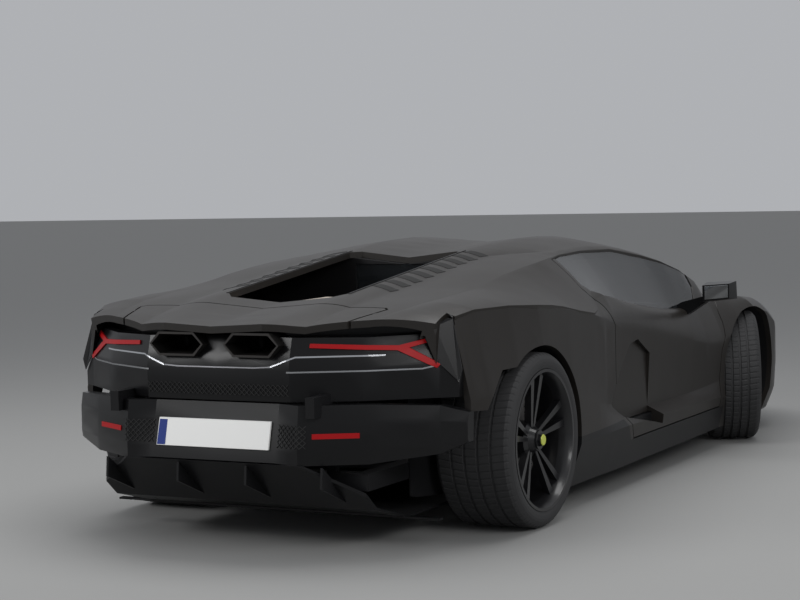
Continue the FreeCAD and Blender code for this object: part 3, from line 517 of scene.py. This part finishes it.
mesh_grille = Build()
TAIL_MESHES = ((-0.43, -0.285, 0.44, 0.53), (0.285, 0.43, 0.44, 0.53), (-0.33, 0.33, 0.635, 0.70))
for y0, y1, z0, z1 in TAIL_MESHES:
    lattice(mesh_grille, y0, y1, z0, z1, behind_tail)
mesh_grille.make("tail_mesh", rubber, "chassis")

# Exhausts: a pair of round pipes in each outlet, closed inside by a near-black disc that is soot and
# painted shade
PIPE_SIDES = 24
PIPE_LENGTH = 0.06
PIPE_RADIUS = 0.034
BORE_RADIUS = 0.0306
pipe_turns = [2 * math.pi * k / PIPE_SIDES for k in range(PIPE_SIDES)]


def pipe_circle(centre, radius, x):
    """A ring of a pipe that runs along the car, x metres from its centre."""
    return [centre + Vector((x, radius * math.cos(a), radius * math.sin(a))) for a in pipe_turns]


pipes = Build()
bores = Build()
for side in (-1, 1):
    for offset in (-46, 46):
        centre = at(-2185, side * 178 + offset, 834)
        front = pipe_circle(centre, PIPE_RADIUS, 0)
        pipes.hull(front, pipe_circle(centre, PIPE_RADIUS, -PIPE_LENGTH), cap=False)
        pipes.hull(pipe_circle(centre, BORE_RADIUS, -PIPE_LENGTH),
                   pipe_circle(centre, BORE_RADIUS, 0), cap=False)
        # Each bore is a near-black disc of soot and painted shade inside its pipe
        bores.hull(shifted(front, 0.002), shifted(front, 0.004))
pipes.make("exhaust_pipes", exhaust_metal, "chassis", "exhaust", smooth=True)
bores.make("exhaust_bores", shade_and_soot, "chassis")

# Deck: a row of louvre slots as strips of painted shade, and a black edge along each side of the
# engine bay
# The louvre slots are near-black strips of painted shade laid on the deck
louvres = Build()
for side in (-1, 1):
    for k in range(9):
        x = -720 - k * 108
        ribbon(louvres, row(((x, 318, 1000), (x - 40, 425, 1000)), side), DOWN, 0.050, 0.0015)
louvres.make("deck_louvres", shade_and_soot, "chassis")
bay_edge = Build()
for side in (-1, 1):
    edge_line = row(((-700, 300, 1000), (-1200, 300, 1000), (-1790, 300, 1000)), side)
    ribbon(bay_edge, edge_line, DOWN, 0.006, 0.003)
bay_edge.make("bay_edge", gloss_black, "chassis", "gloss_black")

# Engine dressing: ribs, plenum, intake runners, cylinder heads and hoses
RIB = ((-168, 822), (168, 822), (116, 872), (-116, 872))
PLENUM = ((-168, 868), (168, 868), (132, 944), (-132, 944))
PLENUM_SLOT = ((-26, 892), (26, 892), (20, 926), (-20, 926))
RUNNER = ((150, 770), (205, 800), (255, 770), (285, 715))
HEAD = ((215, 738), (325, 650), (345, 672), (235, 758))
REAR_HOSE = ((-1520, 60, 790), (-1600, 90, 800), (-1680, 150, 760), (-1740, 200, 690))
FRONT_HOSE = ((-940, 120, 790), (-880, 180, 780), (-830, 250, 720), (-800, 300, 640))
ribs = Build()
for k in range(9):
    x = -990 - k * 60
    ribs.hull(section(x, RIB), section(x - 22, RIB))
ribs.make("cover_ribs", cream, "chassis", bevel=0.002)
plenum = Build()
plenum.hull(section(-1240, PLENUM), section(-1610, PLENUM))
plenum.make("plenum_cover", cream, "chassis", bevel=0.006)
# The plenum's slots are near-black plates of painted shade
slots = Build()
for centre in (-78, 0, 78):
    outline = [(centre + y, z) for y, z in PLENUM_SLOT]
    slots.hull(section(-1608, outline), section(-1613, outline))
slots.make("plenum_slots", shade_and_soot, "chassis")
runners = Build()
for side in (-1, 1):
    for k in range(6):
        runners.tube(section(-980 - k * 92, RUNNER, side), 0.024, 14)
runners.make("intake_runners", engine_grey, "chassis", "engine", smooth=True)
heads = Build()
for side in (-1, 1):
    heads.hull(section(-930, HEAD, side), section(-1610, HEAD, side))
heads.make("cylinder_heads", copper, "chassis", "cover", bevel=0.006)
hoses = Build()
for side in (-1, 1):
    hoses.tube(row(REAR_HOSE, side), 0.018, 12)
    hoses.tube(row(FRONT_HOSE, side), 0.014, 12)
hoses.make("engine_hoses", rubber, "chassis", smooth=True)

# Windscreen wiper: a blade on the glass and an arm above it
BLADE = ((1236, 40, 800), (1226, -200, 800), (1176, -430, 800))
ARM = ((1262, 70, 1000), (1248, -60, 1000), (1231, -170, 1000))
ARM_LIFT = Vector((0, 0, 0.013))
glass_tree = surface(["fixed_glass"])
wiper = Build()
ribbon(wiper, row(BLADE), DOWN, 0.012, 0.010, tree=glass_tree)
wiper.tube([on_shell(point, DOWN, glass_tree) + ARM_LIFT for point in row(ARM)], 0.005, 8)
wiper.make("wiper", rubber, "chassis")

# Mirror glasses, on the doors
MIRROR_GLASS = ((996, 808), (1118, 820), (1118, 884), (996, 874))
for word, side in (("left", 1), ("right", -1)):
    glass_plate = Build()
    outline = section(589.5, MIRROR_GLASS, side)
    glass_plate.hull(outline, shifted(outline, 0.003))
    glass_plate.make("mirror_glass_" + word, mirror_glass, "door_" + word, bevel=0.001)

# Seats: padded forms in place of the plain ones
PAD_COLUMNS = 13
BOLSTER_SWELL = 8


def pad(build, outline, width, crown, middle_y):
    """A crowned pad around a side outline of (x, z) pairs, with higher bolsters near its sides."""
    centre_x = sum(x for x, z in outline) / len(outline)
    centre_z = sum(z for x, z in outline) / len(outline)
    rings = []
    for column in range(PAD_COLUMNS):
        t = 2 * column / (PAD_COLUMNS - 1) - 1
        swell = crown * (1 - abs(t) ** 4) + (BOLSTER_SWELL if 0.55 < abs(t) < 0.9 else 0)
        ring = []
        for x, z in outline:
            away = Vector((x - centre_x, 0, z - centre_z)).normalized()
            point = Vector((x + away.x * swell, t * width / 2, z + away.z * swell))
            ring.append(at(point.x, point.y + middle_y, point.z))
        rings.append(ring)
    build.sections(rings)


SEAT_Y = 380
SEAT_BACK = ((-500, 330), (-440, 300), (-330, 420), (-470, 800), (-520, 880), (-580, 880), (-560, 640))
SEAT_BASE = ((-420, 190), (170, 190), (255, 380), (190, 425), (-100, 370), (-260, 340), (-330, 400),
             (-430, 330))
HEADREST = ((-540, 890), (-480, 890), (-490, 985), (-540, 990))
seat_build = Build()
for side in (-1, 1):
    pad(seat_build, SEAT_BACK, 440, 10, side * SEAT_Y)
    pad(seat_build, SEAT_BASE, 440, 10, side * SEAT_Y)
    pad(seat_build, HEADREST, 250, 8, side * SEAT_Y)
seats = seat_build.make("seat_cushions", seat_leather, "chassis", "seat", smooth=True)
smoothing = seats.modifiers.new("round", "SUBSURF")
smoothing.levels = 1
smoothing.render_levels = 1
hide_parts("seats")

# Dashboard details: screen and vents
screen = Build()
screen.hull(row(((738, 90, 610), (738, -90, 610), (762, -90, 680), (762, 90, 680))),
            row(((752, 90, 608), (752, -90, 608), (776, -90, 678), (776, 90, 678))))
screen.make("dash_screen", gloss_black, "chassis", "gloss_black", bevel=0.002)
vents = Build()
for centre in (-600, -230, 230, 600):
    for k in range(3):
        z = 642 + k * 12
        vents.box(722, 740, centre - 50, centre + 50, z, z + 4)
vents.make("dash_vents", rubber, "chassis")

# Light lines of the headlamps, and the mesh of the front intakes
FORK = ((2176, 560, 700), (2104, 672, 700), (2122, 742, 700))
FORK_TAIL = ((2104, 672, 700), (1972, 786, 700))
lamp_tree = surface(["headlamps"])
signature = Build()
for side in (-1, 1):
    ribbon(signature, row(FORK, side), DOWN, 0.010, 0.002, tree=lamp_tree)
    ribbon(signature, row(FORK_TAIL, side), DOWN, 0.010, 0.002, tree=lamp_tree)
signature.make("headlamp_lines", white_lamp, "chassis", "clear_lamp")
FRONT_MESH_X = 2.20
front_mesh = Build()
for y0, y1 in ((-0.66, -0.33), (0.33, 0.66)):
    lattice(front_mesh, y0, y1, 0.21, 0.37, lambda y, z: FRONT_MESH_X, pitch=0.03)
front_mesh.make("front_mesh", rubber, "chassis")

# Floor, light and camera
bpy.ops.mesh.primitive_plane_add(size=90, location=(0, 0, -0.001))
floor = bpy.context.object
floor.name = "floor"
floor.data.materials.append(material("floor", (0.30, 0.30, 0.295), 0.7, specular=0.2))

world = bpy.data.worlds.new("studio")
bpy.context.scene.world = world
world.use_nodes = True
world.node_tree.nodes["Background"].inputs["Color"].default_value = (0.86, 0.88, 0.92, 1)
world.node_tree.nodes["Background"].inputs["Strength"].default_value = 0.5


def area_light(name, place, aim, size, power):
    data = bpy.data.lights.new(name, "AREA")
    data.shape = "RECTANGLE"
    data.size, data.size_y = size
    data.energy = power
    made = bpy.data.objects.new(name, data)
    bpy.context.scene.collection.objects.link(made)
    made.location = place
    made.rotation_euler = (Vector(aim) - Vector(place)).to_track_quat("-Z", "Y").to_euler()


area_light("overhead", (-0.5, 0, 5.2), (-0.3, 0, 0.6), (6, 2.4), 190)
area_light("behind_left", (-6.5, 4.5, 3.4), (-1.2, 0, 0.7), (4, 1.6), 170)
area_light("camera_side", (-4.5, -6.5, 3.8), (-0.5, 0, 0.5), (5, 1.6), 170)

# The camera that was fitted to the photo, with its place in metres and its focal length in the
# photo's pixels
YAW, PITCH, ROLL = math.radians(28.27), math.radians(-3.85), math.radians(1.53)
CAMERA_PLACE = (-8.9075, -4.337, 1.514)
FOCAL_PIXELS = 1974
PHOTO_WIDTH = 800
SENSOR_WIDTH = 36
ahead = Vector((math.cos(YAW) * math.cos(PITCH), math.sin(YAW) * math.cos(PITCH), math.sin(PITCH)))
right = Vector((math.sin(YAW), -math.cos(YAW), 0))
below = ahead.cross(right)
right_rolled = math.cos(ROLL) * right + math.sin(ROLL) * below
below_rolled = -math.sin(ROLL) * right + math.cos(ROLL) * below
camera_data = bpy.data.cameras.new("camera")
camera_data.sensor_width = SENSOR_WIDTH
camera_data.lens = FOCAL_PIXELS * SENSOR_WIDTH / PHOTO_WIDTH
camera_data.clip_end = 200
camera = bpy.data.objects.new("camera", camera_data)
bpy.context.scene.collection.objects.link(camera)
turn = Matrix((right_rolled, -below_rolled, -ahead)).transposed()
camera.matrix_world = Matrix.Translation(CAMERA_PLACE) @ turn.to_4x4()
bpy.context.scene.camera = camera
bpy.context.scene.view_settings.view_transform = "Standard"
